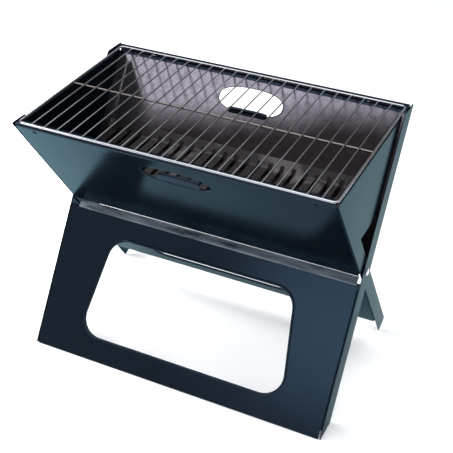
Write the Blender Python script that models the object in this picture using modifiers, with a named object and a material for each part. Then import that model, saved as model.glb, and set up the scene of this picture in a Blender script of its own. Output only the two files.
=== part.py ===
"""Folding charcoal camp grill: two sheet trays crossed in an X on a rivet at each side.

The outer tray carries the rear wall above the pivot and the front leg below it.
The inner tray carries the front wall above and the rear leg below. Between the two
walls sit an ash tray, a slotted charcoal grate, two end plates and the wire grid.
Metres, +Z up, front at -Y. The origin is on the ground, under the middle.
"""

import math

import bmesh
import bpy
from mathutils import Matrix, Vector

# Driving dimensions
WIDTH = 0.450  # over the outer rails
PIVOT_Z = 0.185  # half the rear rim, so that the outer tray stands evenly about it
OUTER_LEAN = math.radians(33.2)  # outer tray leans to the rear
INNER_LEAN = math.radians(34.5)  # inner tray leans to the front
OUTER_RAIL = 0.0315  # depth of an outer side rail, across the tray
INNER_RAIL = 0.0240
RAIL_T = 0.0012
SHEET_T = 0.0008
GAP = 0.0003  # between touching pieces
RAIL_STEP = 0.0027  # inner rail's outer face inside the outer rail's
REAR_RIM_Z = 0.370
FRONT_RIM_Z = 0.365
REAR_RIM_DEPTH = 0.0185
FRONT_RIM_DEPTH = 0.013
SIDE_FLANGE = 0.009  # sheets turn this far along the rails
FRONT_LEG_TOP = -0.019  # distances along a tray from the pivot, up is plus
BAND_RISE = 0.0105  # the band along the front leg's top, up the tray and back
BAND_BACK = 0.0051
BAND_ENDS = (-0.210, 0.219)
REAR_WALL_FOOT = 0.012
FRONT_WALL_FOOT = 0.008
REAR_LEG_TOP = -0.024
REAR_LEG_FOOT = -0.177

# Handle slots, vents and leg windows, along (u) and across (x) a tray
FRONT_SLOT_U = 0.180
REAR_SLOT_U = 0.186
SLOT_SIZE = (0.100, 0.039)
SLOT_ROUNDNESS = 2.4
TONGUE_HALF = 0.030
FRONT_TONGUE = 0.0130  # how far a tongue rises above its slot's lower edge
REAR_TONGUE = 0.0074
VENT_U = 0.040
VENT_SHIFT_X = -0.004
VENT_PITCH = 0.0246
VENT_COUNT = 4
VENT_R = 0.0025
FRONT_WINDOW = ((-0.050, 0.140), (-0.196, 0.160))  # (u, half width) at top and bottom
REAR_WINDOW = ((-0.052, 0.140), (-0.150, 0.153))
WINDOW_CORNER = 0.030

# Rim strips and their rivets
REAR_STRIP_DROP = 0.013
FRONT_STRIP_DROP = 0.022
STRIP_LEDGE = 0.010
REAR_RIVET_DOWN = 0.0082
FRONT_RIVET_DOWN = 0.013
REAR_RIM_RIVET_X = 0.165
FRONT_RIM_RIVET_X = 0.193
RIM_SHANK_R = 0.0015
RIM_HEAD_R = 0.0030
RIM_HEAD_H = 0.0010

# Pivot
PIVOT_SHANK_R = 0.0025
PIVOT_HEAD_R = 0.0055
PIVOT_HEAD_H = 0.0022
WASHER_R = 0.0075

# Wire grid
GRID_LENGTH = 0.433  # between the centres of the frame wire
GRID_FRONT_Y = -0.1345
GRID_REAR_Y = 0.1218
GRID_SHIFT_X = 0.003  # it lies loose, a little to the right
GRID_CORNER = 0.006
FRAME_WIRE_R = 0.0015
CROSS_WIRE_R = 0.0010
CROSS_WIRES = 22

# Charcoal grate and ash tray
PAN_HALF = 0.2105
GRATE_Z = 0.262
GRATE_LIP_Z = 0.276
GRATE_SLOTS = 23
GRATE_SLOT_PITCH = 0.0175
GRATE_SLOT_W = 0.0062
ASH_Z = 0.197
ASH_LIP_Z = 0.206

# End plates
END_FRONT_Z = 0.362  # the top edge slopes like the grid, just under it
END_REAR_Z = 0.3663
END_FOOT_Z = 0.2545
END_FRONT_GAP = 0.0007  # behind the front wall's side flange, so it lifts past the rim
END_REAR_TUCK = 0.004  # behind the outer rail's front edge, inside the rail
END_FLANGE = 0.006

OUTER_X = WIDTH / 2  # outer rail's outer face
INNER_X = OUTER_X - RAIL_STEP
OUTER_SHEET_X = OUTER_X - RAIL_T - GAP
INNER_SHEET_X = INNER_X - RAIL_T - GAP
CROSS_EXTRA = 0.02  # cutters run this far past what they cut
SET_IN = 0.0001  # a joined piece's face lies this far inside its neighbour's

BLUE_BLACK = (0.016, 0.022, 0.030, 1.0)
BARE_STEEL = (0.55, 0.55, 0.57, 1.0)
DARK_STEEL = (0.045, 0.045, 0.050, 1.0)
CHROME = (0.75, 0.75, 0.76, 1.0)


def clear_scene():
    for thing in list(bpy.data.objects):
        bpy.data.objects.remove(thing, do_unlink=True)


def make_collection(name):
    group = bpy.data.collections.new(name)
    bpy.context.scene.collection.children.link(group)
    return group


clear_scene()
GRILL = make_collection("folding_camp_grill")
CUTTERS = make_collection("cutters")


def material(name, colour, roughness, metallic):
    made = bpy.data.materials.new(name)
    made.use_nodes = True
    shader = made.node_tree.nodes["Principled BSDF"]
    shader.inputs["Base Color"].default_value = colour
    shader.inputs["Roughness"].default_value = roughness
    shader.inputs["Metallic"].default_value = metallic
    return made


PAINT = material("stove_enamel", BLUE_BLACK, 0.3, 0.0)
STEEL = material("rivet_steel", BARE_STEEL, 0.35, 1.0)
PAN = material("burnt_steel", DARK_STEEL, 0.6, 0.5)
WIRE = material("chromed_wire", CHROME, 0.2, 1.0)


def outer_point(u, s):
    """(y, z) of a point u up the outer tray and s in front of its middle plane."""
    return (
        u * math.sin(OUTER_LEAN) - s * math.cos(OUTER_LEAN),
        PIVOT_Z + u * math.cos(OUTER_LEAN) + s * math.sin(OUTER_LEAN),
    )


def inner_point(u, s):
    """(y, z) of a point u up the inner tray and s in front of its middle plane."""
    return (
        -u * math.sin(INNER_LEAN) - s * math.cos(INNER_LEAN),
        PIVOT_Z + u * math.cos(INNER_LEAN) - s * math.sin(INNER_LEAN),
    )


def outer_u(z, s):
    """How far up the outer tray the line at s reaches height z."""
    return (z - PIVOT_Z - s * math.sin(OUTER_LEAN)) / math.cos(OUTER_LEAN)


def inner_u(z, s):
    return (z - PIVOT_Z + s * math.sin(INNER_LEAN)) / math.cos(INNER_LEAN)


def outer_at_z(z, s):
    return outer_point(outer_u(z, s), s)


def inner_at_z(z, s):
    return inner_point(inner_u(z, s), s)


def tray_frame(along, origin):
    """Local X across the tray, local Y up it, local Z out of its front."""
    across = Vector((1, 0, 0))
    up = Vector((0, *along))
    columns = (across, up, across.cross(up))
    turn = Matrix([[column[row] for column in columns] for row in range(3)])
    return Matrix.Translation(Vector((0, *origin))) @ turn.to_4x4()


def outer_frame(s):
    return tray_frame((math.sin(OUTER_LEAN), math.cos(OUTER_LEAN)), outer_point(0, s))


def inner_frame(s):
    return tray_frame((-math.sin(INNER_LEAN), math.cos(INNER_LEAN)), inner_point(0, s))


def side_frame(x):
    """Local X and Y are the world's Y and Z, local Z is the world's X."""
    turn = Matrix(((0, 0, 1), (1, 0, 0), (0, 1, 0)))
    return Matrix.Translation((x, 0, 0)) @ turn.to_4x4()


def add_mesh(name, mesh, group, finish=None):
    made = bpy.data.objects.new(name, mesh)
    group.objects.link(made)
    if finish:
        mesh.materials.clear()
        mesh.materials.append(finish)
    if group is CUTTERS:
        made.hide_render = True
        made.display_type = "WIRE"
    return made


def mesh_of_curve(curve):
    """The mesh of a curve, with its loose caps welded on."""
    holder = bpy.data.objects.new("holder", curve)
    bpy.context.scene.collection.objects.link(holder)
    bpy.context.view_layer.update()
    evaluated = holder.evaluated_get(bpy.context.evaluated_depsgraph_get())
    mesh = bpy.data.meshes.new_from_object(evaluated)
    work = bmesh.new()
    work.from_mesh(mesh)
    bmesh.ops.remove_doubles(work, verts=work.verts, dist=1e-6)
    work.to_mesh(mesh)
    work.free()
    bpy.data.objects.remove(holder, do_unlink=True)
    return mesh


def plate(name, outline, thickness, frame, finish=None, group=None):
    """A flat outline, extruded evenly to both sides of the frame's XY plane."""
    curve = bpy.data.curves.new(name, "CURVE")
    curve.dimensions = "2D"
    curve.fill_mode = "BOTH"
    curve.extrude = thickness / 2
    spline = curve.splines.new("POLY")
    spline.points.add(len(outline) - 1)
    for point, (x, y) in zip(spline.points, outline):
        point.co = (x, y, 0, 1)
    spline.use_cyclic_u = True
    made = add_mesh(name, mesh_of_curve(curve), group or GRILL, finish)
    made.matrix_world = frame
    return made


def wires(name, paths, radius, cyclic, frame, finish=None, group=None):
    """Round wires along poly paths, as separate bodies of one mesh."""
    curve = bpy.data.curves.new(name, "CURVE")
    curve.dimensions = "3D"
    curve.bevel_depth = radius
    curve.bevel_resolution = 2
    curve.use_fill_caps = True
    for path in paths:
        spline = curve.splines.new("POLY")
        spline.points.add(len(path) - 1)
        for point, place in zip(spline.points, path):
            point.co = (*place, 1)
        spline.use_cyclic_u = cyclic
    made = add_mesh(name, mesh_of_curve(curve), group or GRILL, finish)
    made.matrix_world = frame
    return made


def bent_sheet(name, profile, half_length, finish=None, group=None):
    """A sheet bent along X: the middle line of its (y, z) profile, given its thickness."""
    work = bmesh.new()
    corners = [work.verts.new((-half_length, y, z)) for y, z in profile]
    edges = [work.edges.new(pair) for pair in zip(corners, corners[1:])]
    swept = bmesh.ops.extrude_edge_only(work, edges=edges)
    moved = [part for part in swept["geom"] if isinstance(part, bmesh.types.BMVert)]
    bmesh.ops.translate(work, verts=moved, vec=(2 * half_length, 0, 0))
    mesh = bpy.data.meshes.new(name)
    work.to_mesh(mesh)
    work.free()
    made = add_mesh(name, mesh, group or GRILL, finish)
    wall = made.modifiers.new("thickness", "SOLIDIFY")
    wall.thickness = SHEET_T
    wall.offset = 0
    wall.use_even_offset = True
    return made


def block(name, low, high, frame, group=None):
    """A box between two corners, in a frame."""
    size = Vector(high) - Vector(low)
    middle = (Vector(high) + Vector(low)) / 2
    work = bmesh.new()
    bmesh.ops.create_cube(work, size=1)
    bmesh.ops.scale(work, vec=size, verts=work.verts)
    bmesh.ops.translate(work, vec=middle, verts=work.verts)
    mesh = bpy.data.meshes.new(name)
    work.to_mesh(mesh)
    work.free()
    made = add_mesh(name, mesh, group or CUTTERS)
    made.matrix_world = frame
    return made


def drill(name, radius, length, frame):
    """A round cutter about the frame's Z."""
    work = bmesh.new()
    bmesh.ops.create_cone(
        work, cap_ends=True, segments=16, radius1=radius, radius2=radius, depth=length
    )
    mesh = bpy.data.meshes.new(name)
    work.to_mesh(mesh)
    work.free()
    made = add_mesh(name, mesh, CUTTERS)
    made.matrix_world = frame
    return made


def combine(target, tool, operation):
    step = target.modifiers.new(tool.name, "BOOLEAN")
    step.operation = operation
    step.object = tool


def rounded(points, radius, steps=5):
    """The outline with each corner turned into an arc."""
    outline = []
    for index, corner in enumerate(points):
        here = Vector(corner)
        before = (Vector(points[index - 1]) - here).normalized()
        after = (Vector(points[(index + 1) % len(points)]) - here).normalized()
        half = before.angle(after) / 2
        centre = here + (before + after).normalized() * (radius / math.sin(half))
        start = here + before * (radius / math.tan(half)) - centre
        end = here + after * (radius / math.tan(half)) - centre
        for step in range(steps + 1):
            spoke = start.slerp(end, step / steps).normalized()
            outline.append(tuple(centre + spoke * radius))
    return outline


def turned(name, profile, segments, frame, finish, group=None):
    """A turned piece: (radius, height) points from top to bottom of its outer side."""
    mesh = bpy.data.meshes.new(name)
    line = [(radius, 0, height) for radius, height in profile]
    pairs = [(index, index + 1) for index in range(len(line) - 1)]
    mesh.from_pydata(line, pairs, [])
    made = add_mesh(name, mesh, group or GRILL, finish)
    made.matrix_world = frame
    screw = made.modifiers.new("turn", "SCREW")
    screw.steps = segments
    screw.render_steps = segments
    screw.use_merge_vertices = True
    screw.merge_threshold = 1e-5
    return made


def dome(radius, height, base, steps=3):
    """Half of a rivet head, from its crown on the axis out to its rim."""
    turns = [step / steps * math.pi / 2 for step in range(steps + 1)]
    return [(radius * math.sin(turn), base + height * math.cos(turn)) for turn in turns]


def rivet(name, shank_r, head_r, head_h, low, high, frame, finish=STEEL):
    """A rivet with a dome at each end of its grip, along the frame's Z."""
    top = dome(head_r, head_h, high)
    bottom = [(radius, low - (height - high)) for radius, height in reversed(top)]
    profile = [*top, (shank_r, high), (shank_r, low), *bottom]
    return turned(name, profile, 16, frame, finish)


def side_rail(name, outline, outer_face, side):
    """A flat rail standing on edge, drilled for the pivot rivet."""
    middle = side * (outer_face - RAIL_T / 2)
    rail = plate(name, outline, RAIL_T, side_frame(middle), PAINT)
    hole = drill(name + "_hole", PIVOT_SHANK_R + GAP, CROSS_EXTRA, pivot_frame(middle))
    combine(rail, hole, "DIFFERENCE")
    return rail


def pivot_frame(x):
    return Matrix.Translation((x, 0, PIVOT_Z)) @ Matrix.Rotation(math.pi / 2, 4, "Y")


def side_flanges(sheet, half_length, low_u, high_u, web_s, turn_back, frame):
    """Turns both ends of a sheet back along the rails, and joins them to it."""
    for side in (-1, 1):
        inner_x, outer_x = sorted((side * (half_length - SHEET_T), side * half_length))
        low_s, high_s = sorted((web_s, web_s + turn_back * SIDE_FLANGE))
        flange = block(
            f"{sheet.name}_flange_{side}",
            (inner_x, low_u, low_s),
            (outer_x, high_u, high_s),
            frame,
        )
        combine(sheet, flange, "UNION")


def slot_outline(middle_u):
    """The handle slot: a long rounded lens."""
    half_x, half_u = SLOT_SIZE[0] / 2, SLOT_SIZE[1] / 2
    outline = []
    for step in range(28):
        turn = 2 * math.pi * step / 28
        power = 2 / SLOT_ROUNDNESS
        x = math.copysign(abs(math.cos(turn)) ** power, math.cos(turn)) * half_x
        u = math.copysign(abs(math.sin(turn)) ** power, math.sin(turn)) * half_u
        outline.append((x, middle_u + u))
    return outline


def handle(sheet, middle_u, rise, point, web_s, inward, frame):
    """Cuts the handle slot; the punched-out tongue stays on its lower edge, curled in."""
    outline = slot_outline(middle_u)
    cutter = plate(sheet.name + "_slot", outline, CROSS_EXTRA, frame, group=CUTTERS)
    combine(sheet, cutter, "DIFFERENCE")
    curl = (
        (-0.0030, 0),
        (0.27 * rise, 0.0003),
        (0.70 * rise, 0.0022),
        (rise, 0.0048),
        (rise, 0.0068),
        (rise - 0.0020, 0.0076),
        (rise - 0.0038, 0.0068),
    )
    foot = middle_u - SLOT_SIZE[1] / 2
    profile = [point(foot + up, web_s + inward * depth) for up, depth in curl]
    tongue = bent_sheet(sheet.name + "_tongue", profile, TONGUE_HALF, group=CUTTERS)
    combine(sheet, tongue, "UNION")


def window(sheet, shape, frame):
    (top_u, top_half), (foot_u, foot_half) = shape
    corners = (
        (-top_half, top_u),
        (-foot_half, foot_u),
        (foot_half, foot_u),
        (top_half, top_u),
    )
    outline = rounded(corners, WINDOW_CORNER)
    cutter = plate(sheet.name + "_window", outline, CROSS_EXTRA, frame, group=CUTTERS)
    combine(sheet, cutter, "DIFFERENCE")


# Where each sheet's middle plane lies, in front of its tray's middle
REAR_WALL_S = -OUTER_RAIL / 2 + SHEET_T / 2
FRONT_LEG_S = OUTER_RAIL / 2 - SHEET_T / 2
INNER_WEB_S = INNER_RAIL / 2 - SHEET_T / 2
SHEET_STEP = SHEET_T + GAP  # from one sheet's middle to that of the next one lying on it


def make_outer_rails():
    half = OUTER_RAIL / 2
    outline = [
        outer_at_z(0, half),
        outer_at_z(0, -half),
        outer_at_z(REAR_RIM_Z, -half),
        outer_at_z(REAR_RIM_Z, half),
    ]
    for name, side in (("outer_rail_left", -1), ("outer_rail_right", 1)):
        side_rail(name, outline, OUTER_X, side)


def make_inner_rails():
    half = INNER_RAIL / 2
    foot_tip, foot_back = inner_u(0, half), -0.2225
    outline = [
        inner_point(foot_tip, half),
        inner_point(foot_back, -half),
        inner_at_z(FRONT_RIM_Z, -half),
        inner_at_z(FRONT_RIM_Z, half),
    ]
    for name, side in (("inner_rail_left", -1), ("inner_rail_right", 1)):
        side_rail(name, outline, INNER_X, side)


def rim_z(top_z, sheets_above):
    """Middle height of a rim's sheet, with so many sheets lying on it."""
    return top_z - SHEET_T / 2 - sheets_above * SHEET_STEP


def make_rear_wall():
    middle_z = rim_z(REAR_RIM_Z, 0)
    top = outer_at_z(middle_z, REAR_WALL_S)
    profile = [
        outer_point(REAR_WALL_FOOT, REAR_WALL_S),
        top,
        (top[0] - REAR_RIM_DEPTH, middle_z),
    ]
    wall = bent_sheet("rear_wall", profile, OUTER_SHEET_X, PAINT)
    high_u = outer_u(middle_z, REAR_WALL_S) - 0.012
    frame = outer_frame(0)
    side_flanges(wall, OUTER_SHEET_X, 0.020, high_u, REAR_WALL_S, 1, frame)
    place = outer_frame(REAR_WALL_S)
    handle(wall, REAR_SLOT_U, REAR_TONGUE, outer_point, REAR_WALL_S, 1, place)
    rim_holes(wall, outer_frame(0), rear_rivet_u(), REAR_RIM_RIVET_X)


def make_front_wall():
    middle_z = rim_z(FRONT_RIM_Z, 0)
    top = inner_at_z(middle_z, INNER_WEB_S)
    profile = [
        inner_point(FRONT_WALL_FOOT, INNER_WEB_S),
        top,
        (top[0] + FRONT_RIM_DEPTH, middle_z),
    ]
    wall = bent_sheet("front_wall", profile, INNER_SHEET_X, PAINT)
    high_u = inner_u(middle_z, INNER_WEB_S) - 0.012
    side_flanges(wall, INNER_SHEET_X, 0.016, high_u, INNER_WEB_S, -1, inner_frame(0))
    place = inner_frame(INNER_WEB_S)
    handle(wall, FRONT_SLOT_U, FRONT_TONGUE, inner_point, INNER_WEB_S, -1, place)
    rim_holes(wall, inner_frame(0), front_rivet_u(), FRONT_RIM_RIVET_X)
    for index in range(VENT_COUNT):
        x = (index - (VENT_COUNT - 1) / 2) * VENT_PITCH + VENT_SHIFT_X
        place = inner_frame(INNER_WEB_S) @ Matrix.Translation((x, VENT_U, 0))
        combine(wall, drill(f"vent_{index + 1}", VENT_R, CROSS_EXTRA, place), "DIFFERENCE")


def rear_rivet_u():
    return outer_u(REAR_RIM_Z, REAR_WALL_S) - REAR_RIVET_DOWN


def front_rivet_u():
    return inner_u(FRONT_RIM_Z, INNER_WEB_S) - FRONT_RIVET_DOWN


def rim_holes(sheet, frame, u, spread):
    for side in (-1, 1):
        place = frame @ Matrix.Translation((side * spread, u, 0))
        cutter = drill(f"{sheet.name}_hole_{side}", RIM_SHANK_R + GAP, 0.05, place)
        combine(sheet, cutter, "DIFFERENCE")


def make_front_leg():
    """The leg's top turns back as a band, notched where the inner rails pass."""
    foot = outer_u(0.0005, FRONT_LEG_S) + SHEET_T / 2 * math.tan(OUTER_LEAN)
    profile = [
        outer_point(foot, FRONT_LEG_S),
        outer_point(FRONT_LEG_TOP, FRONT_LEG_S),
        outer_point(FRONT_LEG_TOP + BAND_RISE, FRONT_LEG_S - BAND_BACK),
    ]
    leg = bent_sheet("front_leg", profile, OUTER_SHEET_X, PAINT)
    frame = outer_frame(0)
    for end in BAND_ENDS:
        near, far = sorted((end, math.copysign(WIDTH / 2, end)))
        notch = block(
            "front_leg_notch",
            (near, FRONT_LEG_TOP, 0),
            (far, FRONT_LEG_TOP + CROSS_EXTRA, CROSS_EXTRA),
            frame,
        )
        combine(leg, notch, "DIFFERENCE")
    high_u = FRONT_LEG_TOP - 0.006
    side_flanges(leg, OUTER_SHEET_X, foot + 0.012, high_u, FRONT_LEG_S, -1, frame)
    window(leg, FRONT_WINDOW, outer_frame(FRONT_LEG_S))


def make_rear_leg():
    profile = [inner_point(u, INNER_WEB_S) for u in (REAR_LEG_FOOT, REAR_LEG_TOP)]
    leg = bent_sheet("rear_leg", profile, INNER_SHEET_X, PAINT)
    low_u, high_u = REAR_LEG_FOOT + 0.005, REAR_LEG_TOP - 0.005
    side_flanges(leg, INNER_SHEET_X, low_u, high_u, INNER_WEB_S, -1, inner_frame(0))
    window(leg, REAR_WINDOW, inner_frame(INNER_WEB_S))


def make_rim_strips():
    """An angle under each rim, riveted to the inside of its wall."""
    middle_z = rim_z(REAR_RIM_Z, 1)
    s = REAR_WALL_S + SHEET_STEP
    top = outer_at_z(middle_z, s)
    foot = outer_point(outer_u(middle_z, s) - REAR_STRIP_DROP, s)
    half = OUTER_SHEET_X - 2 * SHEET_STEP
    profile = [foot, top, (top[0] - STRIP_LEDGE, middle_z)]
    strip = bent_sheet("rear_rim_strip", profile, half, PAINT)
    rim_holes(strip, outer_frame(0), rear_rivet_u(), REAR_RIM_RIVET_X)

    middle_z = rim_z(FRONT_RIM_Z, 1)
    s = INNER_WEB_S - SHEET_STEP
    top = inner_at_z(middle_z, s)
    foot = inner_point(inner_u(middle_z, s) - FRONT_STRIP_DROP, s)
    half = INNER_SHEET_X - 2 * SHEET_STEP
    profile = [foot, top, (top[0] + STRIP_LEDGE, middle_z)]
    strip = bent_sheet("front_rim_strip", profile, half, PAINT)
    rim_holes(strip, inner_frame(0), front_rivet_u(), FRONT_RIM_RIVET_X)


def make_rim_rivets():
    outside, inside = SHEET_T / 2 + GAP, SHEET_T / 2 + SHEET_STEP + GAP
    for word, side in (("left", -1), ("right", 1)):
        shift = Matrix.Translation((side * REAR_RIM_RIVET_X, rear_rivet_u(), REAR_WALL_S))
        place = outer_frame(0) @ shift
        rim_rivet(f"rim_rivet_rear_{word}", -outside, inside, place, STEEL)
        shift = Matrix.Translation((side * FRONT_RIM_RIVET_X, front_rivet_u(), INNER_WEB_S))
        place = inner_frame(0) @ shift
        rim_rivet(f"rim_rivet_front_{word}", -inside, outside, place, PAINT)


def rim_rivet(name, low, high, frame, finish):
    rivet(name, RIM_SHANK_R, RIM_HEAD_R, RIM_HEAD_H, low, high, frame, finish)


def make_pivots():
    """A rivet and a spacing washer where the rails cross, at each side."""
    grip_low = INNER_X - RAIL_T - GAP
    grip_high = OUTER_X + GAP
    for word, side in (("left", -1), ("right", 1)):
        low, high = sorted((side * grip_low, side * grip_high))
        name = f"pivot_rivet_{word}"
        sizes = (PIVOT_SHANK_R, PIVOT_HEAD_R, PIVOT_HEAD_H)
        rivet(name, *sizes, low, high, pivot_frame(0))
        low, high = sorted((side * (INNER_X + GAP), side * (OUTER_X - RAIL_T - GAP)))
        bore = PIVOT_SHANK_R + GAP
        ring = [(bore, high), (WASHER_R, high), (WASHER_R, low), (bore, low), (bore, high)]
        turned(f"pivot_washer_{word}", ring, 16, pivot_frame(0), STEEL)


def make_end_plates():
    """A plate that closes each end of the fire space, with its top edge turned in."""
    front_s = INNER_WEB_S - SIDE_FLANGE - END_FRONT_GAP
    rear_s = OUTER_RAIL / 2 - END_REAR_TUCK
    front_top = inner_at_z(END_FRONT_Z, front_s)
    rear_top = outer_at_z(END_REAR_Z, rear_s)
    outline = [
        inner_at_z(END_FOOT_Z, front_s),
        outer_at_z(END_FOOT_Z, rear_s),
        rear_top,
        front_top,
    ]
    depth = rear_top[0] - front_top[0]
    slope = Matrix.Rotation(math.atan2(rear_top[1] - front_top[1], depth), 4, "X")
    along = Matrix.Translation((0, *front_top)) @ slope
    for name, side in (("end_plate_left", -1), ("end_plate_right", 1)):
        middle = side * (INNER_SHEET_X - SHEET_T / 2)
        panel = plate(name, outline, SHEET_T, side_frame(middle), PAINT)
        low_x, high_x = sorted((middle, side * (INNER_SHEET_X - END_FLANGE)))
        top = block(
            name + "_top", (low_x, 0.004, -SHEET_T), (high_x, depth - 0.003, -SET_IN), along
        )
        combine(panel, top, "UNION")


def pan_profile(floor_z, lip_z):
    """A trough's middle line: floor, and lips that lean on the two walls."""
    front_s = INNER_WEB_S - SHEET_STEP
    rear_s = REAR_WALL_S + SHEET_STEP
    return [
        inner_at_z(lip_z, front_s),
        inner_at_z(floor_z, front_s),
        outer_at_z(floor_z, rear_s),
        outer_at_z(lip_z, rear_s),
    ]


def make_charcoal_grate():
    grate = bent_sheet("charcoal_grate", pan_profile(GRATE_Z, GRATE_LIP_Z), PAN_HALF, PAN)
    reach = 0.1
    work = bmesh.new()
    for index in range(GRATE_SLOTS):
        x = (index - (GRATE_SLOTS - 1) / 2) * GRATE_SLOT_PITCH
        made = bmesh.ops.create_cube(work, size=1)["verts"]
        bmesh.ops.scale(work, vec=(GRATE_SLOT_W, 2 * reach, 0.013), verts=made)
        bmesh.ops.translate(work, vec=(x, 0, GRATE_Z), verts=made)
    mesh = bpy.data.meshes.new("grate_slots")
    work.to_mesh(mesh)
    work.free()
    combine(grate, add_mesh("grate_slots", mesh, CUTTERS), "DIFFERENCE")


def make_ash_tray():
    profile = pan_profile(ASH_Z, ASH_LIP_Z)
    tray = bent_sheet("ash_tray", profile, PAN_HALF, PAN)
    for side in (-1, 1):
        middle = side * (PAN_HALF - SHEET_T / 2)
        name = f"ash_tray_end_{side}"
        end = plate(name, profile, SHEET_T, side_frame(middle), group=CUTTERS)
        combine(tray, end, "UNION")


def make_cooking_grid():
    """A wire frame, cross wires welded inside it and one wire along under them."""
    depth = GRID_REAR_Y - GRID_FRONT_Y
    tilt = math.atan2(REAR_RIM_Z - FRONT_RIM_Z, depth)
    rest_z = (REAR_RIM_Z + FRONT_RIM_Z) / 2 + FRAME_WIRE_R + GAP
    middle = (GRID_SHIFT_X, (GRID_REAR_Y + GRID_FRONT_Y) / 2, rest_z)
    frame = Matrix.Translation(middle) @ Matrix.Rotation(tilt, 4, "X")
    half_x, half_y = GRID_LENGTH / 2, depth / 2
    corners = ((-half_x, -half_y), (half_x, -half_y), (half_x, half_y), (-half_x, half_y))
    loop = [(x, y, 0) for x, y in rounded(corners, GRID_CORNER, 4)]
    grid = wires("cooking_grid", [loop], FRAME_WIRE_R, True, frame, WIRE)
    pitch = GRID_LENGTH / (CROSS_WIRES + 1)
    places = [(index + 1) * pitch - half_x for index in range(CROSS_WIRES)]
    paths = [[(x, -half_y, 0), (x, half_y, 0)] for x in places]
    cross = wires("cross_wires", paths, CROSS_WIRE_R, False, frame, group=CUTTERS)
    combine(grid, cross, "UNION")
    under = -(CROSS_WIRE_R + FRAME_WIRE_R) + 0.0005
    ends = half_x + 0.0005
    path = [(-ends, 0, under), (ends, 0, under)]
    support = wires("support_wire", [path], FRAME_WIRE_R, False, frame, group=CUTTERS)
    combine(grid, support, "UNION")


make_outer_rails()
make_rear_wall()
make_front_leg()
make_inner_rails()
make_front_wall()
make_rear_leg()
make_rim_strips()
make_rim_rivets()
make_pivots()
make_end_plates()
make_charcoal_grate()
make_ash_tray()
make_cooking_grid()
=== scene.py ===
"""Looks of a folding charcoal camp grill: enamelled sheet trays, wire grid, burnt grate.

Every piece is made in the frame's metres, rides on its body and stands for its node.
Tray coordinates are x across, u up a tray from the pivot, s out of the tray's front.
"""

import math

import bmesh
import bpy
from mathutils import Matrix, Vector


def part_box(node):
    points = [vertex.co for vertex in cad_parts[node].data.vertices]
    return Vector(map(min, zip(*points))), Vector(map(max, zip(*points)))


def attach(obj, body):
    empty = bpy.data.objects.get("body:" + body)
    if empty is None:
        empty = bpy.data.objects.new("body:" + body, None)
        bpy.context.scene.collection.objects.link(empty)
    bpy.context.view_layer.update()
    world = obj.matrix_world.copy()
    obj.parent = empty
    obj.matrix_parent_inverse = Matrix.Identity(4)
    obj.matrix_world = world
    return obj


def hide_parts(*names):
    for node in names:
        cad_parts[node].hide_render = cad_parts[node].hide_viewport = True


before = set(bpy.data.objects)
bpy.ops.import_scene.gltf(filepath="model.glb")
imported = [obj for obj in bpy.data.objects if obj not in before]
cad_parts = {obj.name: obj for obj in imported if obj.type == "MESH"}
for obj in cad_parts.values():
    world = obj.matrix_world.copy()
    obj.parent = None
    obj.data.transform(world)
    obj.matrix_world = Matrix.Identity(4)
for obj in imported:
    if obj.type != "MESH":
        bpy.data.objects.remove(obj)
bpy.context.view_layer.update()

# Sheet work
SHEET_T = 0.0008
RAIL_T = 0.0012
GAP = 0.0003
BEND_R = 0.0016  # to the middle of the sheet
RIM_BEND_R = 0.0030
BEND_STEPS = 8
EDGE_BREAK = 0.00018  # the burr taken off a cut edge
OUTER_LEAN = math.radians(33.2)
INNER_LEAN = math.radians(-34.5)
OUTER_RAIL = 0.0315
INNER_RAIL = 0.0240
SIDE_FLANGE = 0.009

# Openings, in tray coordinates
SLOT_HALF = (0.050, 0.0195)
SLOT_ROUNDNESS = 2.4
FRONT_SLOT_U = 0.180
REAR_SLOT_U = 0.186
TONGUE_HALF = 0.030
FRONT_TONGUE = 0.0130  # how far a tongue rises above its slot's lower edge
REAR_TONGUE = 0.0074
VENT_U = 0.040
VENT_PITCH = 0.0246
VENT_SHIFT_X = -0.004
VENT_R = 0.0025
FRONT_WINDOW = ((-0.050, 0.140), (-0.196, 0.160))
REAR_WINDOW = ((-0.052, 0.140), (-0.150, 0.153))
WINDOW_CORNER = 0.030

# Bends, rims and loose pieces
FRONT_RIM_DEPTH = 0.013
REAR_RIM_DEPTH = 0.0185
FRONT_LEG_TOP = -0.019
BAND_RISE = 0.0105
BAND_BACK = 0.0051
BAND_ENDS = (-0.210, 0.219)
BAND_R = 0.004
REAR_LEG_TOP = -0.024
REAR_LEG_FOOT = -0.177
INNER_FOOT_BACK = -0.2225
RAIL_CORNER = 0.0015
REAR_STRIP_DROP = 0.013
FRONT_STRIP_DROP = 0.022
STRIP_LEDGE = 0.010
REAR_RIVET_DOWN = 0.0082
FRONT_RIVET_DOWN = 0.013
REAR_RIM_RIVET_X = 0.165
FRONT_RIM_RIVET_X = 0.193
RIM_SHANK_R = 0.0015
RIM_HEAD_R = 0.0030
RIM_HEAD_H = 0.0010
PIVOT_SHANK_R = 0.0025
PIVOT_HEAD_R = 0.0055
PIVOT_HEAD_H = 0.0022
WASHER_R = 0.0075
GRID_LENGTH = 0.433
GRID_FRONT_Y = -0.1345
GRID_REAR_Y = 0.1218
GRID_SHIFT_X = 0.003
GRID_CORNER = 0.006
FRAME_WIRE_R = 0.0015
CROSS_WIRE_R = 0.0010
CROSS_WIRES = 22
WIRE_SIDES = 16
WIRE_SINK = 0.0005  # how far the support wire is pressed into the cross wires
WELD_SIZE = (0.0018, 0.0018, 0.0012)
WELD_INSET = 0.0014
WELD_RISE = 0.0011
PAN_HALF = 0.2105
PAN_BEND = 0.003
GRATE_Z = 0.262
GRATE_LIP_Z = 0.276
GRATE_SLOTS = 23
GRATE_SLOT_PITCH = 0.0175
GRATE_SLOT_W = 0.0062
ASH_Z = 0.197
ASH_LIP_Z = 0.206
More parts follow.
